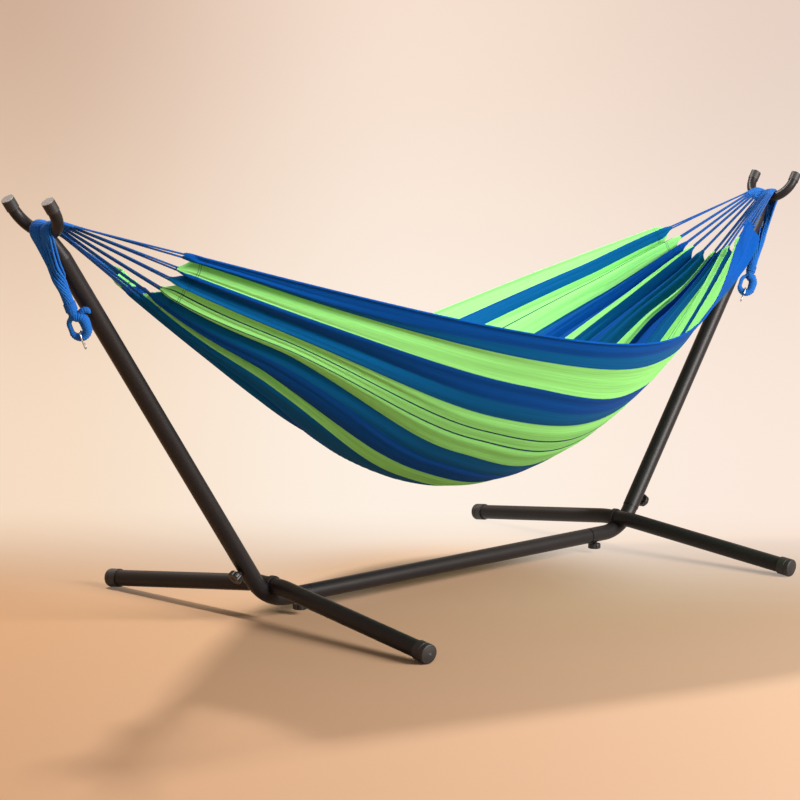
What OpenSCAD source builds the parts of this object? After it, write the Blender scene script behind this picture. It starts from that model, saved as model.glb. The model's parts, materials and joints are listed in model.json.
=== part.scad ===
// Hammock on a steel-tube stand.
// Millimetres. X runs along the stand, Z is up, the origin is on the floor at the stand's centre.
// The right end is drawn in place and the left end is the same end turned by half a turn.

/* [Stand tubes] */
// Outside diameter of the spine, elbow and foot tubes
tube_d = 43; // [38:0.5:48]
// Wall of every steel tube
tube_wall = 1.5; // [1.2:0.1:2]
// Wall of the wider arm tube
arm_wall = 1.2; // [1:0.1:2]
// Slip gap all round between a tube and the spigot inside it
slip_gap = 0.15; // [0.1:0.05:0.3]
// Distance from the centre to where the spine axis meets an arm axis
corner_x = 700; // [600:5:800]
// Angle of an arm above the floor
arm_angle = 54.86; // [50:0.01:60]
// Distance along an arm from that corner to its crossbar axis
arm_length = 1162; // [1000:1:1250]

/* [Elbow] */
// Bend radius of the elbow on its axis
elbow_bend_r = 140; // [130:1:160]
// Straight of the elbow that takes the spine's spigot
elbow_straight = 72; // [66:1:90]
// How far the elbow's stub reaches up inside the arm, from the corner
elbow_stub_end = 168; // [150:1:190]
// Where the arm's lower end sits, from the corner
arm_start = 77; // [75:1:85]
// Length of the spine's reduced spigot
spine_spigot = 60; // [50:1:62]
// Depth from the elbow axis to the foot axis, in the crook of the bend
seat_depth = 22.2; // [18:0.1:26]
// Direction of the foot seen from the bend's centre, off straight down
seat_angle = 28.9; // [26:0.1:31]

/* [Feet] */
// Half the length of a foot, to the outer face of its cap
foot_half = 595; // [500:5:650]
// Slope of each side of the foot
foot_slope = 7.97; // [6:0.01:10]
// Lean of the foot's plane, its ends outwards
foot_lean = 29.85; // [20:0.05:35]
// Bend radius beside the foot's middle
foot_bend_r = 220; // [160:5:240]
// Distance from the foot's middle to the corner of its bend
foot_bend_y = 46; // [42:1:60]
// Where the two halves of the foot meet
foot_split_y = 9; // [6:1:12]
// Length of the spigot that joins the halves
foot_spigot = 36; // [24:1:38]
// Outside diameter of the collar over that joint
collar_d = 52; // [49:0.5:56]
// Width of the collar
collar_w = 10; // [6:1:14]
// Outside diameter of a foot cap
cap_d = 49; // [46:0.5:54]
// Length of a foot cap
cap_len = 39; // [30:1:50]
// Thickness of a foot cap's closed end
cap_end = 6; // [5:0.5:8]
// Radius of the groove round a foot cap
cap_groove_r = 1.6; // [1:0.1:2]

/* [Fork] */
// Outside diameter of the fork tube
fork_d = 28; // [25:0.5:30]
// Half the flat part of the crossbar
fork_flat = 9; // [6:1:14]
// Bend radius of the fork
fork_bend_r = 66; // [56:1:76]
// Straight of each horn above its bend
horn_straight = 24; // [20:1:40]
// Outside diameter of a horn sleeve
sleeve_d = 31; // [30:0.5:34]
// Length of a horn sleeve
sleeve_len = 28; // [20:1:34]
// Thickness of the flat head of a horn plug
plug_head = 1.6; // [1:0.1:3]
// Diameter of the arm where it is drawn in under the crossbar
arm_neck_d = 30; // [28:0.5:36]
// Length over which the arm is drawn in
arm_taper = 55; // [45:1:70]
// Length of the narrow neck above that, to the crossbar axis
arm_neck = 18; // [17:1:24]

/* [Knobs] */
// Diameter of a hand knob
knob_d = 36.5; // [32:0.5:42]
// Thickness of a hand knob
knob_h = 14.5; // [12:0.5:20]
// Grips round a knob
knob_grips = 7; // [5:1:9]
// Diameter of the bolt
bolt_d = 8; // [6:0.5:10]
// Height of the weld nut under a spine knob
spine_nut_h = 3; // [2.5:0.5:6]
// Height of the weld nut under an arm knob
arm_nut_h = 9; // [6:0.5:12]
// Distance across a weld nut's corners
nut_d = 15; // [14:0.5:18]
// Distance from the elbow's mouth to a spine knob
spine_knob_in = 27; // [20:1:40]
// Distance from the corner up the arm to an arm knob
arm_knob_at = 119; // [110:1:140]
// Travel of a bolt when its knob is undone by two turns
bolt_travel = 2.5; // [1:0.5:4]

/* [Hammock bed] */
// How far the bed's ends stop short of the crossbars
bed_end_in = 273.5; // [240:0.5:320]
// Thickness of the cloth's solid
bed_t = 3; // [2:0.5:5]
// Drop of the middle of the bed below the crossbars
bed_drop = 733.8; // [600:1:760]
// Drop of the lowest point of the bed's gathered ends
end_drop = 156.1; // [120:1:180]
// Half width of the bed on its near side and on its far side
bed_half_w = [657, 571.5];
// Drop of the near edge and of the far edge at mid length
edge_drop = [296.7, 425.0];
// Drop of the gathered ends at the near edge and at the far edge
edge_end_drop = [47.7, 79.4];
// Half width of the gathered ends, near and far
end_half_w = [160.5, 155.9];
// How the bed rises from its middle to its near and far edges
rise_power = [1.518, 0.881];
// How sharply the near and far halves narrow towards the ends
width_taper = [0.266, 1.011];
// How sharply the near and far edges rise towards the ends
edge_taper = [0.395, 0.281];
// How sharply the bottom rises towards the ends
bottom_taper = 0.603; // [0.4:0.001:0.8]

/* [Cords] */
// Cords drawn from each end of the bed
cord_count = 10; // [9:1:15]
// Diameter of each drawn cord
cord_d = 6; // [4:0.5:6]
// Outside radius of the cords wrapped over a crossbar
wrap_r = 28; // [24:0.5:32]
// Side limits of the wrapped cords on the right crossbar
wrap_y = [-28, 44];
// Distance from a crossbar at which the swinging cords begin
swing_start = 33; // [31:0.5:40]

/* [Tails] */
// Lean of the left and right tails from straight down
tail_lean = [24.6, 26];
// Distance from the crossbar to the whipping, left and right
tail_len = [178, 228];
// Side place of the tails' necks
tail_y = -14; // [-18:1:0]
// Half thickness of the flat cord bundle at its top
tail_top_r = 6.5; // [5:0.5:6.5]
// Radius of the neck under the whipping
neck_r = 12; // [9:0.5:14]
// Length of the whipping
whip_len = 22; // [14:1:30]
// Thickness of the whipping's cord
whip_t = 2.5; // [1.5:0.5:4]
// Half thickness of the served eye
eye_r = 11; // [9:0.5:12]
// Bend radius of the served eye on its axis
eye_bend_r = 18; // [17:0.5:22]
// Straight between the eye's two bends
eye_straight = 16; // [4:1:24]
// Turn of the left and right eyes about their tails
eye_turn = [-45, -45];
// Length of the tucked cord end beside the left and right whippings
tuck_len = [26, 14];
// Radius of the tucked cord end
tuck_r = 6.5; // [5:0.5:7]

/* [Hooks] */
// Wire diameter of an S hook
wire_d = 4; // [3:0.5:5]
// Gap between a hook and the eye it hangs in
hook_gap = 0.8; // [0.5:0.1:1.5]
// Length of the hook's straight shank
hook_shank = 22; // [20:1:50]
// Bend radius of the hook's lower end
hook_foot_r = 5; // [4:0.5:10]

/* [Hidden] */
$fn = 72;
LEFT = 0;
RIGHT = 1;
eps = 0.01;
part_gap = 0.3;
bead_t = 2.2;
lift_room = 17;
tube_r = tube_d / 2;
spigot_r = tube_r - tube_wall - slip_gap;
arm_r = tube_r + slip_gap + arm_wall;
cap_r = cap_d / 2;
fork_r = fork_d / 2;
bolt_r = bolt_d / 2;
swage = 4;
seam_w = 0.6;
seam_t = 0.1;
bolt_hole_r = bolt_r + 0.5;
nut_bore_r = bolt_r + part_gap;
// foot: straight middle, a bend on each side, then the two straight sides
foot_tan = foot_bend_r * tan(foot_slope / 2);
foot_mid = foot_bend_y - foot_tan;
foot_arc_y = foot_mid + foot_bend_r * sin(foot_slope);
foot_arc_drop = foot_bend_r * (1 - cos(foot_slope));
foot_run = (foot_half - foot_arc_y) / cos(foot_slope);
cap_rim_run = foot_run - cap_end;
cap_round = 3.5;
foot_drop = foot_arc_drop + cap_rim_run * sin(foot_slope);
cap_tilt = sin(foot_slope) * cos(foot_lean);
foot_z = foot_drop * cos(foot_lean) + (cap_r - cap_round) * sqrt(1 - cap_tilt * cap_tilt) + cap_round;
// elbow: the foot rests in the crook of the bend, and that sets the spine's height
elbow_tan = elbow_bend_r * tan(arm_angle / 2);
bend_x = corner_x - elbow_tan;
seat_r = elbow_bend_r - seat_depth;
spine_z = foot_z + seat_r * cos(seat_angle) - elbow_bend_r;
foot_x = bend_x + seat_r * sin(seat_angle);
mouth_x = bend_x - elbow_straight;
// crossbar
bar_x = corner_x + arm_length * cos(arm_angle);
bar_z = spine_z + arm_length * sin(arm_angle);
horn_y = fork_flat + fork_bend_r;
// knobs, measured along each bolt from the tube's axis
knob_gap = 0.8;
bolt_in = 11;
knob_bore = 9;
// bed and cords
bed_x = bar_x - bed_end_in;
bed_u = 36;
bed_v = 28;
cord_rest_r = (fork_r + wrap_r) / 2;

function side_of(v) = v < 0 ? 0 : 1;
function fall(u, k) = 1 - (sqrt(1 + (u / k) * (u / k)) - 1) / (sqrt(1 + 1 / (k * k)) - 1);
function end_y(v) = end_half_w[side_of(v)] * v;
function end_z(v) = bar_z - end_drop + (end_drop - edge_end_drop[side_of(v)]) * v * v;
function mid_y(v) = sign(v) * bed_half_w[side_of(v)] * pow(abs(v), 0.9);
function mid_z(v) = bar_z - bed_drop + (bed_drop - edge_drop[side_of(v)]) * pow(abs(v), rise_power[side_of(v)]);
function rise_k(v) = bottom_taper + (edge_taper[side_of(v)] - bottom_taper) * v * v;
function bed_at(u, v) = let (
    gy = fall(u, width_taper[side_of(v)]),
    gz = fall(u, rise_k(v))
) [u * bed_x, end_y(v) + (mid_y(v) - end_y(v)) * gy, end_z(v) + (mid_z(v) - end_z(v)) * gz];
function unit(a) = a / norm(a);
function bed_normal(u, v) = let (
    h = 0.02,
    along = bed_at(min(1, u + h), v) - bed_at(max(-1, u - h), v),
    across = bed_at(u, min(1, v + h)) - bed_at(u, max(-1, v - h))
) unit(cross(along, across));
function bed_skin(s) = [
    for (i = [0 : bed_u]) for (j = [0 : bed_v])
        let (u = 2 * i / bed_u - 1, v = 2 * j / bed_v - 1) bed_at(u, v) + s * bed_t / 2 * bed_normal(u, v)
];
// the cords leave the bar at its top and run straight to the bed's gathered end
function cord_tip(side, v) = let (s = side == LEFT ? -1 : 1) [bed_x, s * end_y(v), end_z(v)];
function cord_bar_y(k) = wrap_y[0] + 6 + (wrap_y[1] - wrap_y[0] - 12) * k;
function cord_fall(tip) = atan2(bar_z - tip.z, bar_x - tip.x);
function cord_root(tip, y) = [
    bar_x - cord_rest_r * sin(cord_fall(tip)),
    y,
    bar_z + cord_rest_r * cos(cord_fall(tip))
];

// --- frames -------------------------------------------------------------

module at_end(side) {
    rotate([0, 0, side == LEFT ? 180 : 0]) children();
}

module arm_frame() {
    translate([corner_x, 0, spine_z]) rotate([0, 90 - arm_angle, 0]) children();
}

module foot_frame() {
    translate([foot_x, 0, foot_z]) rotate([0, -foot_lean, 0]) children();
}

// local Z leaves the tube along the bolt
module spine_knob_frame() {
    translate([mouth_x + spine_knob_in, 0, spine_z]) rotate([0, 180, 0]) children();
}

module arm_knob_frame() {
    arm_frame() translate([0, 0, arm_knob_at]) rotate([0, 90, 0]) children();
}

// local Z points up the tail, local X away from the arm
module tail_frame(side) {
    translate([bar_x, 0, bar_z]) rotate([0, tail_lean[side], 0])
        translate([cord_rest_r, 0, 0]) children();
}

module eye_frame(side) {
    y = side == LEFT ? -tail_y : tail_y;
    translate([0, y, -tail_len[side] - whip_len / 2 - eye_r - eye_bend_r - 4])
        rotate([0, 0, eye_turn[side]]) children();
}

// --- shared shapes ------------------------------------------------------

module pipe(r, wall, h) {
    difference() {
        cylinder(h = h, r = r);
        if (wall > 0) translate([0, 0, -1]) cylinder(h = h + 2, r = r - wall);
    }
}

module pipe_bend(r, wall, bend_r, start, angle) {
    rotate_extrude(angle = angle, start = start) translate([bend_r, 0]) difference() {
        circle(r = r);
        if (wall > 0) circle(r = r - wall);
    }
}

// a thin band over a butt joint, which keeps a bent tube one solid
module seam() {
    translate([0, 0, -seam_w / 2]) pipe(tube_r + seam_t, tube_wall + 2 * seam_t, seam_w);
}

// a tube drawn in at its far end to a spigot that slips inside its neighbour
module spigot_end(body, spigot) {
    rotate_extrude() polygon([
        [tube_r - tube_wall, 0],
        [tube_r, 0],
        [tube_r, body - swage],
        [spigot_r, body],
        [spigot_r, body + spigot],
        [spigot_r - tube_wall, body + spigot],
        [spigot_r - tube_wall, body],
        [tube_r - tube_wall, body - swage]
    ]);
}

module elbow_bend(r, wall) {
    translate([bend_x, 0, spine_z + elbow_bend_r]) rotate([90, 0, 0])
        pipe_bend(r, wall, elbow_bend_r, -90, arm_angle);
}

module foot_middle(r) {
    foot_frame() rotate([90, 0, 0]) cylinder(h = 2 * foot_mid, r = r, center = true);
}

// one side of the foot beyond its straight middle, on +Y or -Y
module foot_side(s) {
    mirror([0, s < 0 ? 1 : 0, 0]) {
        translate([0, foot_mid, -foot_bend_r]) rotate([0, 90, 0])
            pipe_bend(tube_r, tube_wall, foot_bend_r, 180 - foot_slope, foot_slope);
        translate([0, foot_arc_y, -foot_arc_drop]) rotate([-90 - foot_slope, 0, 0]) {
            pipe(tube_r, tube_wall, foot_run - cap_end);
            seam();
        }
        translate([0, foot_mid, 0]) rotate([90, 0, 0]) seam();
    }
}

module foot_cap_shape() {
    rim = cap_len - cap_end;
    difference() {
        rotate_extrude() difference() {
            union() {
                square([cap_r, rim]);
                translate([cap_r - cap_round, rim]) circle(r = cap_round);
                square([cap_r - cap_round, rim + cap_round]);
                intersection() {
                    translate([0, cap_len - 84]) circle(r = 84, $fn = 360);
                    translate([0, rim]) square([cap_r - cap_round, cap_end]);
                }
            }
            translate([cap_r + 0.4, cap_len * 0.56]) circle(r = cap_groove_r);
        }
        translate([0, 0, -1]) cylinder(h = rim + 1, r = tube_r + slip_gap);
    }
}

module fork_shape(r, wall) {
    translate([0, 0, arm_length]) {
        rotate([90, 0, 0]) translate([0, 0, -fork_flat]) pipe(r, wall, 2 * fork_flat);
        for (s = [0, 1]) mirror([0, s, 0]) {
            translate([0, fork_flat, fork_bend_r]) rotate([0, 90, 0])
                pipe_bend(r, wall, fork_bend_r, 0, 90);
            translate([0, horn_y, fork_bend_r]) pipe(r, wall, horn_straight);
        }
    }
}

module at_horns() {
    for (s = [0, 1]) mirror([0, s, 0])
        arm_frame() translate([0, horn_y, arm_length + fork_bend_r + horn_straight]) children();
}

module nut_shape(wall_r, h) {
    difference() {
        translate([0, 0, wall_r - 4]) cylinder(h = h + 4, d = nut_d, $fn = 6);
        rotate([0, 90, 0]) cylinder(h = 60, r = wall_r, center = true);
        cylinder(h = 80, r = nut_bore_r);
    }
}

module bolt_shape(wall_r, nut_h) {
    translate([0, 0, bolt_in])
        cylinder(h = wall_r + nut_h + knob_gap + knob_bore - part_gap - bolt_in, r = bolt_r);
}

module knob_shape(wall_r, nut_h) {
    translate([0, 0, wall_r + nut_h + knob_gap]) difference() {
        rotate_extrude() difference() {
            union() {
                square([knob_d / 2 - 3, knob_h]);
                translate([0, 3]) square([knob_d / 2, knob_h - 6]);
                translate([knob_d / 2 - 3, 3]) circle(r = 3);
                translate([knob_d / 2 - 3, knob_h - 3]) circle(r = 3);
            }
            translate([0, -5]) square([50, 5]);
        }
        for (i = [0 : knob_grips - 1]) rotate([0, 0, i * 360 / knob_grips])
            translate([knob_d / 2 + 2.6, 0, -1]) cylinder(h = knob_h + 2, r = 5);
        translate([0, 0, -1]) cylinder(h = knob_bore + 1, r = bolt_r + 0.05);
        translate([0, 0, knob_h - 1]) cylinder(h = 2, r = 6);
    }
}

module rod_between(a, b, r) {
    run = b - a;
    translate(a) rotate([0, acos(run.z / norm(run)), atan2(run.y, run.x)])
        cylinder(h = norm(run), r = r, $fn = 24);
}

// --- stand --------------------------------------------------------------

module spine_tube() {
    color("#2b2829") translate([0, 0, spine_z]) for (s = [0, 1]) mirror([s, 0, 0])
        rotate([0, 90, 0]) difference() {
            spigot_end(mouth_x, spine_spigot);
            translate([0, 0, mouth_x + spine_knob_in]) rotate([0, 90, 0]) cylinder(h = 40, r = bolt_hole_r);
        }
}

// the bend is cut to a saddle that the foot tube lies in
module elbow(side) {
    color("#2b2829") at_end(side) difference() {
        union() {
            translate([mouth_x, 0, spine_z]) rotate([0, 90, 0])
                pipe(tube_r, tube_wall, elbow_straight);
            elbow_bend(tube_r, tube_wall);
            translate([bend_x, 0, spine_z]) rotate([0, 90, 0]) seam();
            arm_frame() translate([0, 0, elbow_tan]) {
                pipe(tube_r, tube_wall, elbow_stub_end - elbow_tan);
                seam();
            }
        }
        foot_middle(tube_r + slip_gap);
        spine_knob_frame() cylinder(h = 40, r = bolt_hole_r);
        arm_knob_frame() cylinder(h = 40, r = bolt_hole_r);
    }
}

module elbow_weld(side) {
    color("#242122") at_end(side) difference() {
        intersection() {
            elbow_bend(tube_r + 2.2, 0);
            foot_middle(tube_r + 2.2);
        }
        elbow_bend(tube_r, 0);
        foot_middle(tube_r);
    }
}

module arm(side) {
    neck_r = arm_neck_d / 2;
    top = arm_length - arm_taper - arm_neck;
    color("#2b2829") at_end(side) difference() {
        arm_frame() rotate_extrude() polygon([
            [arm_r - arm_wall, arm_start],
            [arm_r, arm_start],
            [arm_r, top],
            [neck_r, top + arm_taper],
            [neck_r, arm_length - 5],
            [neck_r - arm_wall, arm_length - 5],
            [neck_r - arm_wall, top + arm_taper],
            [arm_r - arm_wall, top]
        ]);
        arm_frame() translate([0, 0, arm_length]) rotate([90, 0, 0])
            cylinder(h = 60, r = fork_r + slip_gap, center = true);
        arm_knob_frame() cylinder(h = 40, r = bolt_hole_r);
    }
}

module fork(side) {
    color("#2b2829") at_end(side) arm_frame() fork_shape(fork_r, tube_wall);
}

module fork_weld(side) {
    neck_r = arm_neck_d / 2;
    color("#242122") at_end(side) arm_frame() difference() {
        intersection() {
            translate([0, 0, arm_length - arm_neck]) cylinder(h = arm_neck - 5, r = neck_r + bead_t);
            translate([0, 0, arm_length]) rotate([90, 0, 0])
                cylinder(h = 60, r = fork_r + bead_t, center = true);
        }
        translate([0, 0, arm_length - 20]) cylinder(h = 20, r = neck_r);
        translate([0, 0, arm_length]) rotate([90, 0, 0]) cylinder(h = 60, r = fork_r, center = true);
    }
}

module horn_sleeves(side) {
    color("#211e1f") at_end(side) at_horns() translate([0, 0, -sleeve_len + plug_head])
        pipe(sleeve_d / 2, sleeve_d / 2 - fork_r - slip_gap, sleeve_len - plug_head);
}

module horn_plugs(side) {
    color("#c9c5c4") at_end(side) at_horns() {
        cylinder(h = plug_head, r = sleeve_d / 2 - slip_gap);
        translate([0, 0, -10]) cylinder(h = 10 + eps, r = fork_r - tube_wall - slip_gap);
    }
}

module foot_long(side) {
    color("#2b2829") at_end(side) foot_frame() {
        rotate([90, 0, 0]) translate([0, 0, -foot_split_y])
            pipe(tube_r, tube_wall, foot_mid + foot_split_y);
        foot_side(-1);
    }
}

module foot_short(side) {
    color("#2b2829") at_end(side) foot_frame() {
        translate([0, foot_mid, 0]) rotate([90, 0, 0])
            spigot_end(foot_mid - foot_split_y, foot_spigot);
        foot_side(1);
    }
}

module foot_collar(side) {
    color("#262324") at_end(side) difference() {
        foot_frame() translate([0, foot_split_y - 1 + collar_w / 2, 0]) rotate([90, 0, 0])
            pipe(collar_d / 2, collar_d / 2 - tube_r - slip_gap, collar_w);
        elbow_bend(tube_r + 2.5, 0);
    }
}

module foot_caps(side) {
    color("#1f1d1e") at_end(side) foot_frame() for (s = [0, 1]) mirror([0, s, 0])
        translate([0, foot_arc_y, -foot_arc_drop]) rotate([-90 - foot_slope, 0, 0])
            translate([0, 0, foot_run - cap_len]) foot_cap_shape();
}

// --- knobs --------------------------------------------------------------

module spine_nut(side) {
    color("#2b2829") at_end(side) spine_knob_frame() nut_shape(tube_r, spine_nut_h);
}

module arm_nut(side) {
    color("#2b2829") at_end(side) arm_knob_frame() nut_shape(arm_r, arm_nut_h);
}

module spine_bolt(side) {
    color("#b9b9b9") at_end(side) spine_knob_frame() bolt_shape(tube_r, spine_nut_h);
}

module arm_bolt(side) {
    color("#b9b9b9") at_end(side) arm_knob_frame() bolt_shape(arm_r, arm_nut_h);
}

module spine_knob(side) {
    color("#161515") at_end(side) spine_knob_frame() knob_shape(tube_r, spine_nut_h);
}

module arm_knob(side) {
    color("#161515") at_end(side) arm_knob_frame() knob_shape(arm_r, arm_nut_h);
}

// --- hammock ------------------------------------------------------------

module hammock_bed() {
    row = bed_v + 1;
    skin = (bed_u + 1) * row;
    top = [for (i = [0 : bed_u - 1]) for (j = [0 : bed_v - 1])
        [i * row + j, i * row + j + 1, (i + 1) * row + j + 1, (i + 1) * row + j]];
    bottom = [for (f = top) [for (k = [3 : -1 : 0]) f[k] + skin]];
    ends = [for (j = [0 : bed_v - 1]) each [
        [j + 1, j, j + skin, j + 1 + skin],
        [bed_u * row + j, bed_u * row + j + 1, bed_u * row + j + 1 + skin, bed_u * row + j + skin]]];
    edges = [for (i = [0 : bed_u - 1]) each [
        [i * row, (i + 1) * row, (i + 1) * row + skin, i * row + skin],
        [(i + 1) * row + bed_v, i * row + bed_v, i * row + bed_v + skin, (i + 1) * row + bed_v + skin]]];
    color("#1a5fae") polyhedron(concat(bed_skin(1), bed_skin(-1)), concat(top, bottom, ends, edges), 8);
}

module cords(side) {
    color("#1763b5") at_end(side) for (i = [0 : cord_count - 1]) {
        k = i / (cord_count - 1);
        tip = cord_tip(side, side == LEFT ? 1 - 2 * k : 2 * k - 1);
        root = cord_root(tip, cord_bar_y(k));
        way = (tip - root) / (root.x - tip.x);
        rod_between(root + way * (root.x - bar_x + swing_start + cord_d / 2), tip - way, cord_d / 2);
    }
}

// side view of the cords from above the tail's top, which must be free to lift, over the bar
// to where the swinging cords begin
module wrap_outline(lean) {
    stop = part_gap - swing_start;
    polygon([
        for (i = [0 : 28]) let (a = 115 * i / 28 - (lean - lift_room) * (1 - i / 28)) wrap_r * [cos(a), sin(a)],
        [stop, 17.5],
        [stop, 0.6],
        [-8, 10],
        [9, 3]
    ]);
}

module bar_wrap(side) {
    mid = (wrap_y[0] + wrap_y[1]) / 2;
    wide = wrap_y[1] - wrap_y[0];
    color("#1763b5") at_end(side) difference() {
        translate([bar_x, mid, bar_z]) rotate([90, 0, 0]) translate([0, 0, -wide / 2])
            linear_extrude(height = wide) wrap_outline(tail_lean[side]);
        tail_frame(side) rotate([90, 0, 0])
            cylinder(h = 2 * wide, r = tail_top_r + part_gap, center = true);
        arm_frame() fork_shape(fork_r + part_gap, 0);
    }
}

// room round an arm's top, its weld bead and its fork for the cords that hang against them
module arm_room() {
    bead_r = arm_neck_d / 2 + bead_t + part_gap;
    top = arm_length - arm_taper - arm_neck;
    arm_frame() {
        fork_shape(fork_r + part_gap, 0);
        rotate_extrude() polygon([
            [0, arm_start],
            [arm_r + part_gap, arm_start],
            [arm_r + part_gap, top],
            [bead_r, top + arm_taper],
            [bead_r, arm_length],
            [0, arm_length]
        ]);
    }
}

module tail_bundle(side) {
    y = side == LEFT ? -tail_y : tail_y;
    mid = (wrap_y[0] + wrap_y[1]) / 2;
    wide = wrap_y[1] - wrap_y[0] - 8;
    neck = tail_len[side] - whip_len / 2;
    color("#1763b5") at_end(side) {
        difference() {
            tail_frame(side) hull() {
                translate([0, mid, 0]) rotate([90, 0, 0])
                    cylinder(h = wide, r = tail_top_r, center = true, $fn = 24);
                translate([0, y, -neck - 2]) cylinder(h = 1, r = neck_r - 0.5, $fn = 32);
            }
            arm_room();
        }
        tail_frame(side) translate([0, y, -neck - whip_len])
            cylinder(h = whip_len + eps, r = neck_r);
    }
}

module whipping(side) {
    y = side == LEFT ? -tail_y : tail_y;
    color("#1763b5") at_end(side) tail_frame(side) translate([0, y, -tail_len[side] - whip_len / 2])
        pipe(neck_r + whip_t, whip_t - slip_gap, whip_len);
}

module served_eye(side) {
    mouth = eye_r + eye_bend_r + 4;
    out = side == LEFT ? -1 : 1;
    color("#1763b5") at_end(side) tail_frame(side) eye_frame(side) {
        translate([0, 0, -eye_straight]) rotate([90, 0, 0])
            pipe_bend(eye_r, 0, eye_bend_r, 180, 180);
        rotate([90, 0, 0]) pipe_bend(eye_r, 0, eye_bend_r, 0, 180);
        for (s = [-1, 1]) translate([s * eye_bend_r, 0, -eye_straight])
            cylinder(h = eye_straight, r = eye_r);
        translate([0, 0, eye_bend_r]) cylinder(h = mouth - eye_bend_r, r = eye_r + 2);
        translate([out * 8, 0, eye_bend_r + 4]) rotate([0, out * 80, 0])
            cylinder(h = tuck_len[side], r = tuck_r);
    }
}

// the hook's upper bend goes round the eye's lower bend, and its lower bend is free
module s_hook(side) {
    wire_r = wire_d / 2;
    head_r = eye_r + hook_gap + wire_r;
    color("#b4b6b8") at_end(side) tail_frame(side) eye_frame(side)
        translate([0, 0, -eye_straight - eye_bend_r]) rotate([0, 0, 90]) {
            rotate([90, 0, 0]) pipe_bend(wire_r, 0, head_r, 0, 180);
            translate([-head_r, 0, -8]) cylinder(h = 8, r = wire_r);
            translate([head_r, 0, -hook_shank]) cylinder(h = hook_shank, r = wire_r);
            translate([head_r - hook_foot_r, 0, -hook_shank]) rotate([90, 0, 0])
                pipe_bend(wire_r, 0, hook_foot_r, 180, 180);
            translate([head_r - 2 * hook_foot_r, 0, -hook_shank]) cylinder(h = 6, r = wire_r);
        }
}

spine_tube();
elbow(LEFT);  // elbow_left
elbow(RIGHT);  // elbow_right
arm(LEFT);  // arm_left
arm(RIGHT);  // arm_right
fork(LEFT);  // fork_left
fork(RIGHT);  // fork_right
fork_weld(LEFT);  // fork_weld_left
fork_weld(RIGHT);  // fork_weld_right
elbow_weld(LEFT);  // elbow_weld_left
elbow_weld(RIGHT);  // elbow_weld_right
horn_sleeves(LEFT);  // horn_sleeves_left
horn_sleeves(RIGHT);  // horn_sleeves_right
horn_plugs(LEFT);  // horn_plugs_left
horn_plugs(RIGHT);  // horn_plugs_right
foot_long(LEFT);  // foot_long_left
foot_long(RIGHT);  // foot_long_right
foot_short(LEFT);  // foot_short_left
foot_short(RIGHT);  // foot_short_right
foot_collar(LEFT);  // foot_collar_left
foot_collar(RIGHT);  // foot_collar_right
foot_caps(LEFT);  // foot_caps_left
foot_caps(RIGHT);  // foot_caps_right
spine_nut(LEFT);  // spine_nut_left
spine_nut(RIGHT);  // spine_nut_right
arm_nut(LEFT);  // arm_nut_left
arm_nut(RIGHT);  // arm_nut_right
spine_bolt(LEFT);  // spine_bolt_left
spine_bolt(RIGHT);  // spine_bolt_right
arm_bolt(LEFT);  // arm_bolt_left
arm_bolt(RIGHT);  // arm_bolt_right
spine_knob(LEFT);  // spine_knob_left
spine_knob(RIGHT);  // spine_knob_right
arm_knob(LEFT);  // arm_knob_left
arm_knob(RIGHT);  // arm_knob_right
hammock_bed();
cords(LEFT);  // cords_left
cords(RIGHT);  // cords_right
bar_wrap(LEFT);  // bar_wrap_left
bar_wrap(RIGHT);  // bar_wrap_right
tail_bundle(LEFT);  // tail_bundle_left
tail_bundle(RIGHT);  // tail_bundle_right
whipping(LEFT);  // whipping_left
whipping(RIGHT);  // whipping_right
served_eye(LEFT);  // served_eye_left
served_eye(RIGHT);  // served_eye_right
s_hook(LEFT);  // s_hook_left
s_hook(RIGHT);  // s_hook_right
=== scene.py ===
# Hammock on a steel-tube stand: materials, cloth, cords, studio.
import json
import math

import bpy
import numpy as np
from mathutils import Matrix, Vector


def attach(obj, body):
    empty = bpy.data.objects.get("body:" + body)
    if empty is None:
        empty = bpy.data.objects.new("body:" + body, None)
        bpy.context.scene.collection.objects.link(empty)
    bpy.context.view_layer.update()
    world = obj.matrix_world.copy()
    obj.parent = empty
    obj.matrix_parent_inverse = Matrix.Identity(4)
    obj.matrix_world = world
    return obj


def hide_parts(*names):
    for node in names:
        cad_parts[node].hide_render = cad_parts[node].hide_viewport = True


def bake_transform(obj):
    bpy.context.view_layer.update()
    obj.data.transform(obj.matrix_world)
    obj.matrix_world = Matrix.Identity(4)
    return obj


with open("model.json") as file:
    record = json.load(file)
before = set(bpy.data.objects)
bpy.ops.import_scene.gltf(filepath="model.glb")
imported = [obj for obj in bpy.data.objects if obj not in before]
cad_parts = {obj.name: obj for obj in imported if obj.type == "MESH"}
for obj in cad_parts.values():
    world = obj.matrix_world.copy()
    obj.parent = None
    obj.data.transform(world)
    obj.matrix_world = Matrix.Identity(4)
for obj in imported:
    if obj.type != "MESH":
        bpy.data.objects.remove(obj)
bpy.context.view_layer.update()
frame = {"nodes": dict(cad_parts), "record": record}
scene = bpy.context.scene
nodes = frame["nodes"]
print("frame loaded")

# ---- camera ----
view = dict(place=(-4.6275, -4.3287, 1.3512), azimuth=-45.484, elevation=7.677, roll=0.498, lens=106.73)


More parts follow.
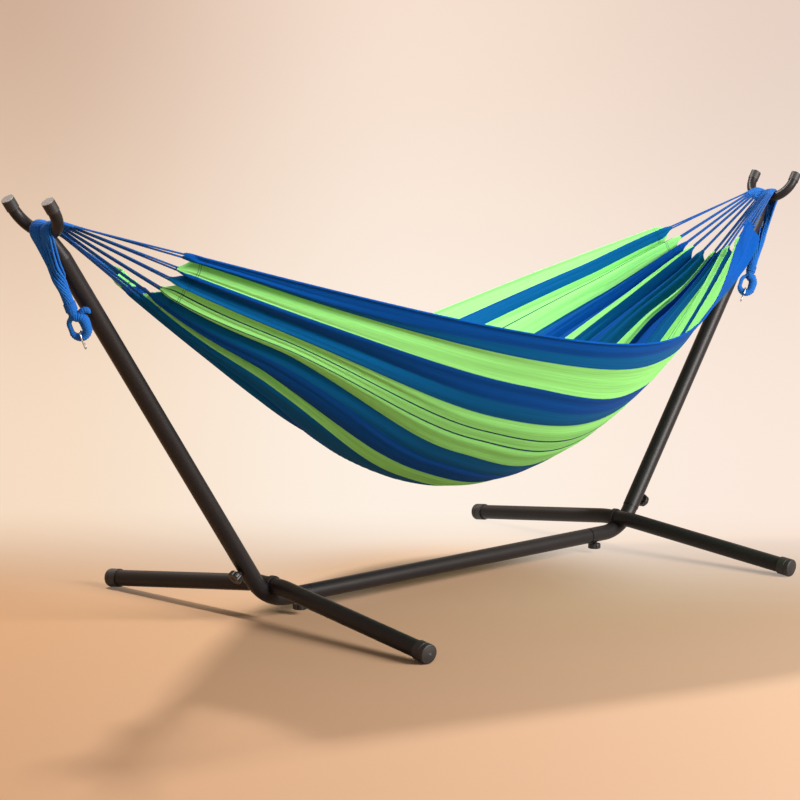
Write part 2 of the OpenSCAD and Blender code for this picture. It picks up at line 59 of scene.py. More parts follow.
def addCamera():
    az, el, roll = (math.radians(view[k]) for k in ("azimuth", "elevation", "roll"))
    ahead = Vector((-math.sin(az) * math.cos(el), math.cos(az) * math.cos(el), -math.sin(el)))
    level = Vector((math.cos(az), math.sin(az), 0))
    over = level.cross(ahead)
    right = math.cos(roll) * level + math.sin(roll) * over
    up = -math.sin(roll) * level + math.cos(roll) * over
    cam = bpy.data.objects.new("camera", bpy.data.cameras.new("camera"))
    scene.collection.objects.link(cam)
    cam.matrix_world = Matrix.Translation(view["place"]) @ Matrix((right, up, -ahead)).transposed().to_4x4()
    cam.data.lens = view["lens"]
    cam.data.sensor_width = 36
    cam.data.clip_start, cam.data.clip_end = 0.1, 200
    scene.camera = cam


addCamera()


# ---- materials ----
def linear(hexCode):
    parts = [int(hexCode[i:i + 2], 16) / 255 for i in (1, 3, 5)]
    return [c / 12.92 if c <= 0.04045 else ((c + 0.055) / 1.055) ** 2.4 for c in parts] + [1]


def addNode(tree, kind, settings=None, links=None):
    # settings are attributes or input values, links join other nodes' outputs to inputs
    made = tree.nodes.new("ShaderNode" + kind)
    for name, value in (settings or {}).items():
        if isinstance(name, int) or name in made.inputs:
            made.inputs[name].default_value = value
        else:
            setattr(made, name, value)
    for name, source in (links or {}).items():
        tree.links.new(source, made.inputs[name])
    return made


def newMaterial(name):
    made = bpy.data.materials.new(name)
    made.use_nodes = True
    made.node_tree.nodes.clear()
    return made, made.node_tree


def finishMaterial(tree, shader):
    out = addNode(tree, "OutputMaterial")
    tree.links.new(shader.outputs[0], out.inputs["Surface"])


def mixed(tree, colours, share):
    # a colour between two, by a share that varies over the surface
    return addNode(tree, "Mix", {"data_type": "RGBA", 6: linear(colours[0]), 7: linear(colours[1])}, {0: share})


def paintedSteel(name, colour, roughness, grain, depth):
    # polyester powder coat baked on steel: dense, satin, with a fine orange peel about 1 mm across
    made, tree = newMaterial(name)
    place = addNode(tree, "TexCoord")
    mottle = addNode(tree, "TexNoise", {"Scale": 9, "Detail": 3}, {"Vector": place.outputs["Object"]})
    tint = mixed(tree, colour, mottle.outputs["Fac"])
    peel = addNode(tree, "TexNoise", {"Scale": 1000 / grain, "Detail": 2}, {"Vector": place.outputs["Object"]})
    rough = addNode(tree, "MapRange", {"To Min": roughness - 0.05, "To Max": roughness + 0.06},
                    {"Value": peel.outputs["Fac"]})
    bump = addNode(tree, "Bump", {"Strength": 0.35, "Distance": depth}, {"Height": peel.outputs["Fac"]})
    shader = addNode(tree, "BsdfPrincipled", {"IOR": 1.5, "Specular IOR Level": 0.22},
                     {"Base Color": tint.outputs[2], "Roughness": rough.outputs[0], "Normal": bump.outputs[0]})
    finishMaterial(tree, shader)
    return made


def mouldedPlastic(name, colour, roughness, grain):
    # polypropylene with a fine spark-eroded mould texture: dull, even, slightly soft at the edges
    made, tree = newMaterial(name)
    place = addNode(tree, "TexCoord")
    mottle = addNode(tree, "TexNoise", {"Scale": 25, "Detail": 4}, {"Vector": place.outputs["Object"]})
    tint = mixed(tree, colour, mottle.outputs["Fac"])
    spark = addNode(tree, "TexVoronoi", {"Scale": 1000 / grain}, {"Vector": place.outputs["Object"]})
    bump = addNode(tree, "Bump", {"Strength": 0.2, "Distance": 0.0003}, {"Height": spark.outputs["Distance"]})
    rough = addNode(tree, "MapRange", {"To Min": roughness - 0.04, "To Max": roughness + 0.05},
                    {"Value": mottle.outputs["Fac"]})
    shader = addNode(tree, "BsdfPrincipled", {"IOR": 1.49},
                     {"Base Color": tint.outputs[2], "Roughness": rough.outputs[0], "Normal": bump.outputs[0]})
    finishMaterial(tree, shader)
    return made


def zincPlate(name, colour, roughness):
    # bright zinc over drawn steel wire: cool grey metal with dull patches
    made, tree = newMaterial(name)
    place = addNode(tree, "TexCoord")
    patch = addNode(tree, "TexNoise", {"Scale": 180, "Detail": 5}, {"Vector": place.outputs["Object"]})
    tint = mixed(tree, colour, patch.outputs["Fac"])
    rough = addNode(tree, "MapRange", {"To Min": roughness - 0.08, "To Max": roughness + 0.12},
                    {"Value": patch.outputs["Fac"]})
    bump = addNode(tree, "Bump", {"Strength": 0.15, "Distance": 0.0002}, {"Height": patch.outputs["Fac"]})
    shader = addNode(tree, "BsdfPrincipled", {"Metallic": 1},
                     {"Base Color": tint.outputs[2], "Roughness": rough.outputs[0], "Normal": bump.outputs[0]})
    finishMaterial(tree, shader)
    return made


def twistedCotton(name, colour):
    # soft-spun cotton cord: matt, fuzzy, lighter on the crown of each strand and dark between them
    made, tree = newMaterial(name)
    place = addNode(tree, "TexCoord")
    fibre = addNode(tree, "TexNoise", {"Scale": 420, "Detail": 4, "Roughness": 0.7},
                    {"Vector": place.outputs["Object"]})
    fade = addNode(tree, "TexNoise", {"Scale": 14, "Detail": 2}, {"Vector": place.outputs["Object"]})
    tint = mixed(tree, colour, fibre.outputs["Fac"])
    worn = addNode(tree, "Mix", {"data_type": "RGBA", "blend_type": "MULTIPLY", 0: 0.5},
                   {6: tint.outputs[2], 7: fade.outputs["Color"]})
    soft = addNode(tree, "Mix", {"data_type": "RGBA", 0: 0.25}, {6: tint.outputs[2], 7: worn.outputs[2]})
    bump = addNode(tree, "Bump", {"Strength": 0.5, "Distance": 0.0005}, {"Height": fibre.outputs["Fac"]})
    shader = addNode(tree, "BsdfPrincipled",
                     {"Roughness": 0.92, "Sheen Weight": 0.06, "Sheen Roughness": 0.5, "Specular IOR Level": 0.2},
                     {"Base Color": soft.outputs[2], "Normal": bump.outputs[0]})
    finishMaterial(tree, shader)
    return made


royal, teal, lime, pin = "#034797", "#03548c", "#8ee280", "#07304c"
# stripes from the near edge to the far edge: colour and width in mm
stripes = [(royal, 58), (teal, 30), (lime, 88), (royal, 82), (teal, 46),
           (lime, 60), (pin, 5), (lime, 42), (pin, 5), (lime, 78), (teal, 58), (royal, 118), (lime, 46),
           (teal, 76), (royal, 52), (teal, 76), (lime, 46), (royal, 118), (teal, 34), (lime, 112),
           (pin, 5), (lime, 66), (teal, 78), (royal, 8), (lime, 60)]
clothMm = sum(width for _, width in stripes)
clothWidth = clothMm / 1000
clothLength = 2.48


def wovenCotton(name):
    # plain-woven cotton, dyed in the yarn: matt stripes, streaky along the warp, tiny ribs across it
    made, tree = newMaterial(name)
    place = addNode(tree, "UVMap", {"uv_map": "flatCloth"})
    parts = addNode(tree, "SeparateXYZ", links={0: place.outputs[0]})
    ramp = addNode(tree, "ValToRGB", links={0: parts.outputs["Y"]})
    ramp.color_ramp.interpolation = "CONSTANT"
    at = 0
    for k, (colour, width) in enumerate(stripes):
        stop = ramp.color_ramp.elements[0] if k == 0 else ramp.color_ramp.elements.new(at / clothMm)
        stop.color = linear(colour)
        at += width
    ramp.color_ramp.elements.remove(ramp.color_ramp.elements[-1])
    # yarn streaks run the length of the cloth: 4 mm wide and 300 mm long
    long = addNode(tree, "Mapping", {"Scale": (clothLength / 0.3, clothWidth / 0.004, 1)},
                   {"Vector": place.outputs[0]})
    streak = addNode(tree, "TexNoise", {"Scale": 1, "Detail": 3}, {"Vector": long.outputs[0]})
    shade = addNode(tree, "MapRange", {"From Min": 0.3, "From Max": 0.7, "To Min": 0.86, "To Max": 1.1},
                    {"Value": streak.outputs["Fac"]})
    toned = addNode(tree, "HueSaturation", links={"Color": ramp.outputs[0], "Value": shade.outputs[0]})
    # two rows of lockstitch in dark thread hold the gathers, 47 and 52 mm from each end
    fromEnd = addNode(tree, "Math", {"operation": "PINGPONG", 1: 0.5}, {0: parts.outputs["X"]})
    rows = [addNode(tree, "Math", {"operation": "COMPARE", 1: row / clothLength, 2: 0.0009 / clothLength},
                    {0: fromEnd.outputs[0]}) for row in (0.047, 0.052)]
    sewn = addNode(tree, "Math", {"operation": "MAXIMUM"}, {0: rows[0].outputs[0], 1: rows[1].outputs[0]})
    sewn = addNode(tree, "Math", {"operation": "MULTIPLY", 1: 0.55}, {0: sewn.outputs[0]})
    toned = addNode(tree, "Mix", {"data_type": "RGBA", 7: linear(pin)}, {0: sewn.outputs[0], 6: toned.outputs[0]})
    # threads are 0.9 mm apart, drawn 2.6 mm apart so that they show
    threads = addNode(tree, "Mapping", {"Scale": (clothLength / 0.0026, clothWidth / 0.0026, 1)},
                      {"Vector": place.outputs[0]})
    weave = addNode(tree, "TexChecker", {"Scale": 1, "Color1": (1, 1, 1, 1), "Color2": (0, 0, 0, 1)},
                    {"Vector": threads.outputs[0]})
    slub = addNode(tree, "TexNoise", {"Scale": 0.6, "Detail": 2}, {"Vector": threads.outputs[0]})
    height = addNode(tree, "Math", {"operation": "MULTIPLY_ADD", 1: 0.5},
                     {0: weave.outputs["Fac"], 2: slub.outputs["Fac"]})
    bump = addNode(tree, "Bump", {"Strength": 0.35, "Distance": 0.0006}, {"Height": height.outputs[0]})
    shader = addNode(tree, "BsdfPrincipled",
                     {"Roughness": 0.95, "Sheen Weight": 0.012, "Sheen Roughness": 0.5, "Specular IOR Level": 0.06},
                     {"Base Color": toned.outputs[2], "Normal": bump.outputs[0]})
    finishMaterial(tree, shader)
    return made


finishes = {
    "powder_coat": paintedSteel("powderCoatedSteel", ("#171516", "#1f1c1d"), 0.42, 1.2, 0.0004),
    "weld_paint": paintedSteel("powderCoatedWeld", ("#1a1718", "#211e1f"), 0.52, 3.5, 0.0012),
    "cap_plastic": mouldedPlastic("mouldedPolypropylene", ("#171516", "#1d1b1c"), 0.55, 0.9),
    # the plugs are painted a mid grey that stands in for light reflected off flat black plastic: painted reflection
    "plug_plastic": mouldedPlastic("mouldedPlugPaintedReflection", ("#7d7977", "#938e8b"), 0.5, 0.9),
    "knob_plastic": mouldedPlastic("mouldedNylon", ("#121112", "#1a1819"), 0.45, 0.7),
    "bolt_steel": zincPlate("zincPlatedBolt", ("#a9abac", "#c9cbcc"), 0.3),
    "hook_steel": zincPlate("galvanisedWire", ("#9ea1a3", "#c4c7c8"), 0.34),
    "bed_cloth": wovenCotton("wovenStripedCotton"),
    "cord_cotton": twistedCotton("twistedCotton", ("#0b4c9b", "#1e6fc4")),
}
# darker copies of the cord's colours for the hanging strings: painted shade, as the same cord over the bar and in the
# tails keeps the lighter ones
shadedStringCotton = twistedCotton("twistedCottonPaintedShade", ("#083a7c", "#185ca8"))
for part in frame["record"]["subparts"]:
    mesh = nodes[part["node"]].data
    mesh.materials.clear()
    mesh.materials.append(finishes[part["material_slot"]])
print("materials made")


# ---- mesh helpers ----
def finishPiece(name, mesh, finish):
    mesh.polygons.foreach_set("use_smooth", [True] * len(mesh.polygons))
    mesh.materials.append(finishes[finish])
    mesh.update()
    made = bpy.data.objects.new(name, mesh)
    scene.collection.objects.link(made)
    return made


def lengthAlong(line):
    # how far each point is from the line's start
    return np.concatenate([[0], np.cumsum(np.linalg.norm(np.diff(line, axis=0), axis=1))])


def smoothPath(points, step):
    # a Catmull-Rom curve through the points, with points about step apart
    p = np.array(points, float)
    p = np.vstack([2 * p[0] - p[1], p, 2 * p[-1] - p[-2]])
    out = []
    t = np.linspace(0, 1, 16, endpoint=False)[:, None]
    for a, b, c, d in zip(p, p[1:], p[2:], p[3:]):
        curve = 2 * b + (c - a) * t + (2 * a - 5 * b + 4 * c - d) * t ** 2 + (3 * b - a - 3 * c + d) * t ** 3
        out.append(0.5 * curve)
    line = np.vstack(out + [p[-2][None]])
    along = lengthAlong(line)
    at = np.linspace(0, along[-1], max(3, int(along[-1] / step) + 1))
    return np.stack([np.interp(at, along, line[:, k]) for k in range(3)], axis=1)


def frames(line):
    # turn-free frames along a line
    way = np.gradient(line, axis=0)
    way /= np.linalg.norm(way, axis=1, keepdims=True)
    side = np.cross(way[0], (0, 0, 1) if abs(way[0][2]) < 0.9 else (0, 1, 0))
    out = []
    for t in way:
        side = side - t * side.dot(t)
        side /= np.linalg.norm(side)
        out.append((side.copy(), np.cross(t, side)))
    return np.array([o[0] for o in out]), np.array([o[1] for o in out])


def ringsAround(line, angle, size):
    # a ring of points round each point of a line, each at its own distance
    a, b = frames(line)
    return line[:, None, :] + size[..., None] * (np.cos(angle)[None, :, None] * a[:, None, :]
                                                 + np.sin(angle)[None, :, None] * b[:, None, :])


def laidCord(line, radius, pitch, strands=3, around=12, groove=0.22, phase=0.0):
    # rings of a twisted cord: the strands' crowns turn once round it in each pitch
    turn = 2 * math.pi * lengthAlong(line) / pitch + phase
    angle = np.linspace(0, 2 * math.pi, around, endpoint=False)
    lobe = np.abs(np.cos(strands / 2 * (angle[None, :] - turn[:, None])))
    return ringsAround(line, angle, radius * (1 - groove + groove * lobe))


def ribbed(line, size, pitch, around=20):
    # close turns of thin cord served round a core
    angle = np.linspace(0, 2 * math.pi, around, endpoint=False)
    rib = np.abs(np.cos(math.pi * lengthAlong(line)[:, None] / pitch - angle[None, :] / 2))
    return ringsAround(line, angle, size[:, None] * (0.86 + 0.14 * rib))


def joinGrids(name, grids, finish="cord_cotton"):
    # several closed tubes in one piece, each capped at both ends
    verts, faces = [], []
    for grid in grids:
        rows, cols = grid.shape[:2]
        base = sum(len(v) for v in verts)
        verts.append(grid.reshape(-1, 3))
        faces += [(base + i * cols + j, base + i * cols + (j + 1) % cols, base + (i + 1) * cols + (j + 1) % cols,
                   base + (i + 1) * cols + j) for i in range(rows - 1) for j in range(cols)]
        faces.append(tuple(base + j for j in range(cols))[::-1])
        faces.append(tuple(base + (rows - 1) * cols + j for j in range(cols)))
    mesh = bpy.data.meshes.new(name)
    mesh.from_pydata(np.vstack(verts).tolist(), [], faces)
    return finishPiece(name, mesh, finish)


# ---- cloth ----
bed = dict(
    end=1.0953, bar=1.00365, barX=1.36882,
    midDrop=0.7338, endDrop=0.1561, halfWidth=(0.657, 0.5715), edgeDrop=(0.2967, 0.425),
    edgeEndDrop=(0.0477, 0.0794), endHalfWidth=(0.1605, 0.1559), rise=(1.518, 0.881),
    widthTaper=(0.266, 1.011), edgeTaper=(0.395, 0.281), bottomTaper=0.603,
    columnWidth=4, midRows=200, endRows=30, crest=0.012, valley=0.55, pleat=0.16, foldStart=0.22, foldPower=1.2,
    notch=0.966, tipRadius=0.0055, ripple=0.0022,
    # the near edge's own tip at each end, and at the right end its sideways direction and its belly
    nearTip={-1: 0.008, 1: 0.023}, nearAcross=(0, 0.99, 0.14), belly=(0, -0.066, -0.004),
    bellyAt=[0, 28, 58, 90, 150, 250], bellyShare=[-0.2, 0.5, 1, 0.85, 0.35, 0])
# where the clusters part at each end, in mm across the flat cloth from the near edge
clusterAt = {-1: [0, 108, 262, 345, 495, 690, 833, 987, 1140, 1294, clothMm],
             1: [0, 90, 250, 470, 655, 716, 860, 1010, 1105, 1290, clothMm]}
# where the gathered tips lie across each end, from the near edge to the far edge
tipAt = {-1: [-.96, -.80, -.64, -.43, -.20, 0, .20, .42, .65, .92],
         1: [-.90, -.66, -.42, -.27, -.11, .16, .40, .56, .72, .94]}
# a band is a run of one colour: the pin lines count as part of the lime they lie in
bandColours = [lime if colour == pin else colour for colour, _ in stripes]
bandStarts = [k for k in range(len(stripes)) if k == 0 or bandColours[k] != bandColours[k - 1]] + [len(stripes)]
bandWidths = [sum(width for _, width in stripes[low:high]) for low, high in zip(bandStarts, bandStarts[1:])]
# where the bands' edges lie at places along the bed, because the cloth hangs a little askew
edgesAt = {
    -0.7: [-1, -.925, -.902, -.811, -.718, -.66, -.482, -.418, -.25, -.20,
           -.085, -.04, .04, .09, .26, .33, .66, .82, .84, 1.0],
    -0.25: [-1, -.948, -.903, -.795, -.695, -.618, -.385, -.29, -.18, -.075,
            .04, .12, .20, .26, .40, .45, .70, .85, .86, 1.0],
    0.1: [-1, -.95, -.893, -.75, -.665, -.606, -.305, -.21, -.12, .01,
          .12, .20, .30, .35, .48, .53, .77, .88, .885, 1.0],
    0.75: [-1, -.86, -.79, -.60, -.565, -.545, -.222, -.09, .045, .13,
           .235, .285, .365, .415, .545, .58, .80, .89, .895, 1.0],
}


def fall(u, k):
    return 1 - (np.sqrt(1 + (u / k) ** 2) - 1) / (np.sqrt(1 + 1 / k ** 2) - 1)


def bedSurface(u, v):
    # the hung cloth without its folds: u runs along the bed, v from the near edge to the far edge
    def pick(pair):
        return np.where(v < 0, pair[0], pair[1])

    a = np.abs(v)
    midY = np.sign(v) * pick(bed["halfWidth"]) * a ** 0.9
    midZ = bed["bar"] - bed["midDrop"] + (bed["midDrop"] - pick(bed["edgeDrop"])) * a ** pick(bed["rise"])
    endY = pick(bed["endHalfWidth"]) * v
    endZ = bed["bar"] - bed["endDrop"] + (bed["endDrop"] - pick(bed["edgeEndDrop"])) * v * v
    k = bed["bottomTaper"] + (pick(bed["edgeTaper"]) - bed["bottomTaper"]) * a * a
    gy, gz = fall(u, pick(bed["widthTaper"])), fall(u, k)
    return np.stack([u * bed["end"], endY + (midY - endY) * gy, endZ + (midZ - endZ) * gz], axis=-1)


def acrossBed(u, flat):
    # where the flat cloth's line (0 to 1 across it) lies on the hung bed at u
    bands = np.concatenate([[0], np.cumsum(bandWidths)]) / sum(bandWidths)
    stations = {k: np.interp(flat, bands, row) for k, row in edgesAt.items()}
    for side in (-1, 1):
        cuts = np.array(clusterAt[side]) / clothMm
        centres = (cuts[1:] + cuts[:-1]) / 2
        stations[float(side)] = np.interp(flat, np.concatenate([[0], centres, [1]]), [-1] + tipAt[side] + [1])
    keys = sorted(stations)
    k = min(max(int(np.searchsorted(keys, u)) - 1, 0), len(keys) - 2)
    s = min(max((u - keys[k]) / (keys[k + 1] - keys[k]), 0), 1)
    s = s * s * (3 - 2 * s)
    return stations[keys[k]] * (1 - s) + stations[keys[k + 1]] * s


def normals(points):
    n = np.cross(np.gradient(points, axis=0), np.gradient(points, axis=1))
    return n / np.linalg.norm(n, axis=-1, keepdims=True)


def step(x, low, high):
    t = np.clip((x - low) / (high - low), 0, 1)
    return t * t * (3 - 2 * t)


def columnPlan():
    # lines of points along the cloth, doubled wherever clusters part at either end
    cuts = sorted(set(clusterAt[-1] + clusterAt[1]))
    flat, middle = [], []
    for low, high in zip(cuts, cuts[1:]):
        count = max(3, round((high - low) / bed["columnWidth"]))
        flat += np.linspace(low, high, count + 1).tolist()
        middle += [(low + high) / 2] * (count + 1)
    return np.array(flat), np.array(middle)


def placeInCluster(side, flat, middle):
    cuts = np.array(clusterAt[side], float)
    cluster = np.searchsorted(cuts, middle) - 1
    return cluster, (flat - cuts[cluster]) / (cuts[cluster + 1] - cuts[cluster])


def easedNormals(us, vs):
    # the surface's outward side, with the crease at the middle line eased over about 80 mm
    smoothV = np.linspace(-1, 1, 241)
    ref = normals(bedSurface(np.repeat(us[:, None], 241, axis=1), np.repeat(smoothV[None], len(us), axis=0)))
    kernel = np.hanning(31)[1:-1]
    kernel /= kernel.sum()
    out = np.empty(vs.shape + (3,))
    for c in range(3):
        padded = np.pad(ref[..., c], ((0, 0), (15, 15)), mode="edge")
        eased = np.array([np.convolve(r, kernel, "same")[15:-15] for r in padded])
        out[..., c] = np.array([np.interp(vs[i], smoothV, eased[i]) for i in range(len(us))])
    out /= np.linalg.norm(out, axis=-1, keepdims=True)
    return -out if out[len(us) // 2, vs.shape[1] // 2, 2] > 0 else out


def foldHeight(us, flat, middle, base):
    # the cloth between two cords is wider than the room it has, so it dips between them
    rng = np.random.default_rng(7)
    apart = np.linalg.norm(np.diff(base, axis=1), axis=2)
    along = np.concatenate([np.zeros((len(us), 1)), np.cumsum(apart, axis=1)], axis=1)
    height = np.zeros(base.shape[:2])
    for side in (-1, 1):
        cluster, t = placeInCluster(side, flat, middle)
        cuts = np.array(clusterAt[side], float)
        n = len(cuts) - 1
        room = np.array([np.diff(np.interp(cuts, flat, row)) for row in along])
        wide = np.diff(cuts)[None] / 1000
        dip = 0.5 * np.sqrt(np.clip(wide ** 2 - room ** 2, 0, None))
        atCut = np.concatenate([0.2 * dip[:, :1], (dip[:, 1:] + dip[:, :-1]) / 2, 0.2 * dip[:, -1:]], axis=1)
        atCut = atCut * rng.uniform(0.75, 1.2, n + 1)[None]
        depth = atCut[:, cluster] * (1 - t) + atCut[:, cluster + 1] * t
        s = np.clip((us * side - bed["foldStart"]) / (1 - bed["foldStart"]), 0, 1)[:, None] ** bed["foldPower"]
        lean = rng.uniform(-0.06, 0.06, n)[cluster]
        bent = np.clip(t + lean * np.sin(2 * math.pi * t), 0, 1)
        crown = np.sin(math.pi * bent) ** 0.75
        number = rng.choice([2, 3, 3], n)[cluster]
        pleats = np.abs(np.sin(math.pi * number * (t + rng.uniform(-0.08, 0.08, n)[cluster]))) ** 0.8
        pleats = (pleats - 1) * np.sin(math.pi * t) ** 0.6
        height += -side * (bed["crest"] * s - bed["valley"] * depth * s * (1 - crown)
                           + bed["pleat"] * depth * s ** 1.5 * pleats)
    wave = sum(np.sin(2 * math.pi * (flat / clothMm * f + g)) * np.cos(math.pi * us[:, None] * h + g)
               for f, g, h in ((7, .3, .6), (11, .8, .9), (17, .1, .7), (29, .5, .4))) / 3
    return height + bed["ripple"] * wave * (1 - np.abs(us[:, None])) ** 0.5


def bedGrid():
    inner = np.linspace(-0.93, 0.93, bed["midRows"])
    outer = np.linspace(0.93, 1, bed["endRows"])[1:]
    us = np.concatenate([-outer[::-1], inner, outer])
    flat, middle = columnPlan()
    vs = np.array([acrossBed(u, flat / clothMm) for u in us])
    base = bedSurface(np.repeat(us[:, None], len(flat), axis=1), vs)
    up = easedNormals(us, vs)
    points = base + foldHeight(us, flat, middle, base)[..., None] * up
    # towards the right end the near edge's outer side bellies outwards below its hem
    belly = np.interp(flat, bed["bellyAt"], bed["bellyShare"])[None]
    belly = belly * (step(us, 0.42, 0.85) * (1 - 0.6 * step(us, 0.93, 1)))[:, None]
    points += belly[..., None] * np.array(bed["belly"])
    # past the notch each cluster draws in to a small tube
    for side in (-1, 1):
        cluster, t = placeInCluster(side, flat, middle)
        cuts = np.array(clusterAt[side]) / clothMm
        for i in np.where(us * side > bed["notch"])[0]:
            q = (abs(us[i]) - bed["notch"]) / (1 - bed["notch"])
            g = q * q * (3 - 2 * q)
            for j in range(len(cuts) - 1):
                cols = np.where(cluster == j)[0]
                centre = acrossBed(us[i], np.array([(cuts[j] + cuts[j + 1]) / 2]))
                mid = bedSurface(us[i:i + 1], centre)[0]
                across = base[i, cols[-1]] - base[i, cols[0]]
                across /= np.linalg.norm(across)
                if side > 0 and j == 0:
                    across = np.array(bed["nearAcross"])
                out = -side * up[i, cols[len(cols) // 2]]
                phi = (t[cols] - 0.5) * 2 * math.pi * 0.86
                r = bed["tipRadius"] + 0.009 * (1 - q) ** 1.5
                wide = bed["nearTip"][side] + 0.006 * (1 - q) if j == 0 else r
                ring = mid + wide * np.sin(phi)[:, None] * across + r * np.cos(phi)[:, None] * out
                points[i, cols] = points[i, cols] * (1 - g) + ring * g
    return us, flat, middle, points


def clothMesh(name, us, flat, points):
    rows, cols = points.shape[:2]
    index = np.arange(rows * cols).reshape(rows, cols)
    twins = np.where(np.diff(flat) == 0)[0] + 1
    for c in twins:   # doubled lines are one, except past the notches of the end where they part
        parted = np.zeros(rows, bool)
        for side in (-1, 1):
            if flat[c] in clusterAt[side]:
                parted |= us * side > bed["notch"]
        index[~parted, c] = index[~parted, c - 1]
    joined = [c for c in range(cols - 1) if c + 1 not in twins]
    faces = [(index[i, c], index[i, c + 1], index[i + 1, c + 1], index[i + 1, c]) for c in joined
             for i in range(rows - 1)]
    used, back = np.unique(np.array(faces), return_inverse=True)
    mesh = bpy.data.meshes.new(name)
    mesh.from_pydata(points.reshape(-1, 3)[used].tolist(), [], back.reshape(-1, 4).tolist())
    uv = np.stack([np.repeat((us[:, None] + 1) / 2, cols, axis=1),
                   np.repeat(flat[None] / clothMm, rows, axis=0)], axis=-1)
    giveFlat(mesh, uv.reshape(-1, 2)[used])
    return finishPiece(name, mesh, "bed_cloth")


def giveFlat(mesh, perPoint):
    layer = mesh.uv_layers.new(name="flatCloth")
    corner = np.zeros(len(mesh.loops), np.int32)
    mesh.loops.foreach_get("vertex_index", corner)
    layer.data.foreach_set("uv", perPoint[corner].astype(np.float32).ravel())


us, flat, middle, clothPoints = bedGrid()
cloth = clothMesh("stripedCloth", us, flat, clothPoints)
hem = dict(radius=0.0028)
hems = []
for name, column, shade in (("nearHem", 0, 0.004), ("farHem", -1, 0.996)):
    line = clothPoints[1:-1, column]
    tube = laidCord(line, hem["radius"], 0.05, strands=2, around=8, groove=0.1)
    piece = joinGrids(name, [tube], "bed_cloth")
    along = np.repeat((us[1:-1] + 1) / 2, 8)
    giveFlat(piece.data, np.stack([along, np.full(len(along), shade)], axis=1))
    hems.append(piece)
for piece in [cloth] + hems:
    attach(piece, "hammock")
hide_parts("hammock_bed")
print("cloth made", len(cloth.data.polygons))

# ---- cords ----
cords = dict(size=0.005, lay=0.02, spread=(-0.034, 0.039), parting=0.005, swingStart=0.033,
             bandRise=(0.0172, 0.0078), bandSize=0.0058, blendTo=0.17, barStraight=0.009, barBend=0.066,
             # strings of each cluster and how far apart they are tied, from the near edge
             count={-1: [2] * 10, 1: [4] + [2] * 9},
             apart={-1: [.0095, .008, .0065, .0075, .006, .006, .007, .0065, .006, .0085],
                    1: [.030, .005, .005, .005, .0045, .005, .005, .0045, .005, .006]})
tail = dict(lean={-1: 24.6, 1: 26}, length={-1: 0.178, 1: 0.228}, pivot=0.021, side=-0.014,
            bendOver=(0.004, -0.06), neck=0.0098, whip=0.022, whipTurn=0.003, whipRadius=0.0134, turns=8,
            twist={-1: 165, 1: 80}, twistFrom=0.42, eyeTurn=-45)
eye = dict(bend=0.018, straight=0.016, neck=0.011, clear=0.004,
           thick=0.0132, foot=0.0114, thin=0.0062, throat=0.0125, rib=0.0046)
# the cord's end tucked in beside the eye, from the throat outwards, and its thickness
tuck = {-1: ([(.004, -.002), (.014, .004), (.0245, .0085), (.033, .006), (.037, -.003)], 0.0082),
        1: ([(.004, .002), (.012, .005), (.0205, .006)], 0.0062)}


def toWorld(side, points):
    # an end is worked out as the right end, and the left one is turned half round
    p = np.array(points, float)
    return p * (side, side, 1) if side < 0 else p


def tips(side):
    # middle and sideways direction of each gathered tip, and the same a little way into the cloth
    row = 0 if side < 0 else -1
    cluster, _ = placeInCluster(side, flat, middle)
    found = []
    for j in range(len(clusterAt[side]) - 1):
        cols = np.where(cluster == j)[0]
        quarter = cols[[len(cols) // 4, -1 - len(cols) // 4]]
        across = clothPoints[row, quarter[1]] - clothPoints[row, quarter[0]]
        inner = clothPoints[row + (6 if side < 0 else -6), cols].mean(axis=0)
        found.append((clothPoints[row, cols].mean(axis=0), across / np.linalg.norm(across), inner))
    return found


def barRise(y):
    # the crossbar is straight for a little each side, then bends up
    out = max(0, abs(y) - cords["barStraight"])
    return cords["barBend"] - math.sqrt(cords["barBend"] ** 2 - out ** 2)


def barPath(side, tip, y, radius):
    # from a tip over the crossbar and round it to the tail's top, as the right end
    bx, bz = bed["barX"], bed["bar"] + barRise(y)
    dx, dz = bx - tip[0], bz - tip[2]
    far = math.hypot(dx, dz)
    rise = math.atan2(dz, dx) + math.asin(radius / far)
    touch = math.pi / 2 + rise          # angle on the bar, from outwards, where the cord meets it
    stop = -math.radians(tail["lean"][side])
    turn = [(bx + radius * math.cos(a), y, bz + radius * math.sin(a)) for a in np.linspace(touch, stop, 22)]
    start = np.array(turn[0])
    free = [tip + (start - tip) * k for k in np.linspace(0, 1, 60, endpoint=False)]
    return np.array(free), np.array(turn)


def barPlace(i, count):
    # the strings lie over the bar as two soft bands, each highest at its middle
    k = i / (count - 1)
    y = cords["spread"][0] + (cords["spread"][1] - cords["spread"][0]) * k
    inBand = (2 * k) % 1 if k < 1 else 1
    y += cords["parting"] / 2 * (1 if k > 0.5 else -1) * (1 - abs(2 * k - 1))
    low, rise = cords["bandRise"]
    return y, low + rise * math.sqrt(max(0, 1 - (2 * inBand - 1) ** 2))


